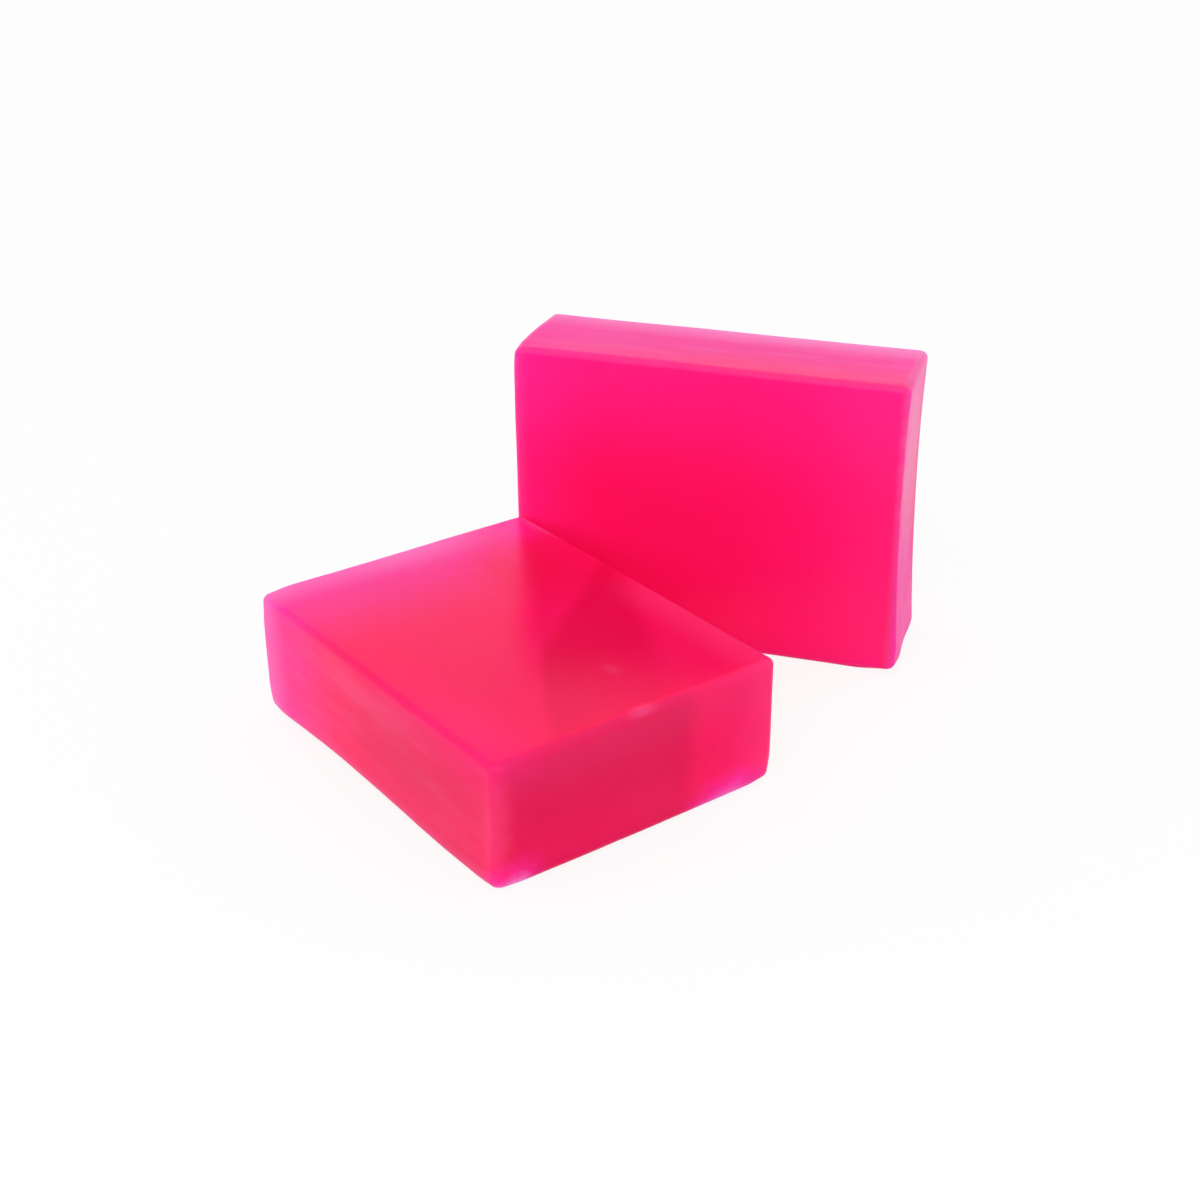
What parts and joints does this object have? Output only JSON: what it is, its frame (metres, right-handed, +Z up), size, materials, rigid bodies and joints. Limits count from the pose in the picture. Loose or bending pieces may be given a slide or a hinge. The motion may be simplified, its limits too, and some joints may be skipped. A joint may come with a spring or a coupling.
{
  "type": "soap bar set",
  "caption": "Rectangular translucent dyed soap bars with soft edges, a lying bar with another standing on its long edge behind its corner, for washing or display.",
  "frame": {"origin": "centre of the lying bar's underside, on the surface that both bars stand on", "axes": "+X along the lying bar's length, +Y across it towards the upright bar, +Z up"},
  "size_m": [0.0952, 0.1267, 0.0615],
  "materials": {
    "dyed_soap": "glossy translucent hot pink soap, dyed through, redder where it is thick and paler at the edges"
  },
  "bodies": {
    "lying_bar": {"lying_bar": "dyed_soap"},
    "upright_bar": {"upright_bar": "dyed_soap"}
  },
  "joints": [
    {"name": "upright_bar_lift", "type": "slide", "parent": "lying_bar", "child": "upright_bar", "axis": [0, 0, 1], "range_m": [0, 0.045]}
  ]
}
